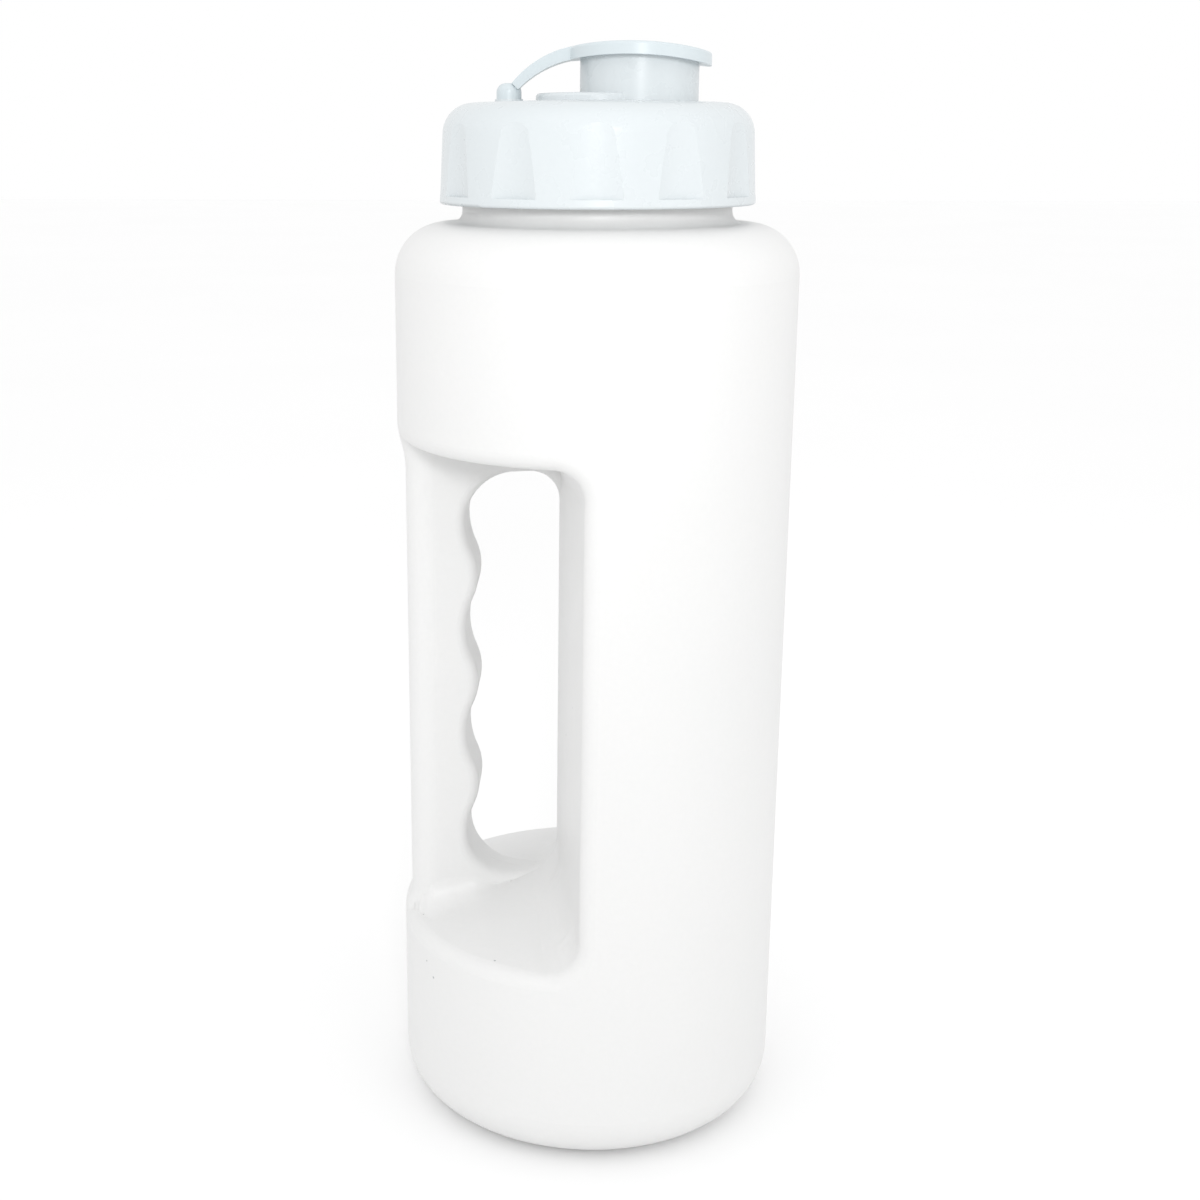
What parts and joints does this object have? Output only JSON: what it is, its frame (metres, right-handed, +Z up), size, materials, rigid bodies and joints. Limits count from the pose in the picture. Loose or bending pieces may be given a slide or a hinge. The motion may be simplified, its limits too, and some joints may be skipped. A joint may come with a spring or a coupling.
{
  "type": "flip-top plastic bottle",
  "caption": "White plastic drinks bottle with a moulded-in finger grip, a fluted screw lid and a spout under a tethered flip cap.",
  "frame": {"origin": "centre of the ring that the bottle stands on, in the plane of the surface it stands on", "axes": "+Z up along the bottle's axis; the grip and the cap's knob are on the -X side, the spout is on the +X side; -Y is the side shown"},
  "size_m": [0.089, 0.089, 0.2455],
  "materials": {
    "bottle_plastic": "satin, blow-moulded polyethylene",
    "lid_plastic": "smooth, injection-moulded polypropylene",
    "cap_plastic": "smooth, injection-moulded polypropylene"
  },
  "bodies": {
    "root": {"bottle": "bottle_plastic", "lid": "lid_plastic", "flip_cap": "cap_plastic"}
  },
  "joints": []
}
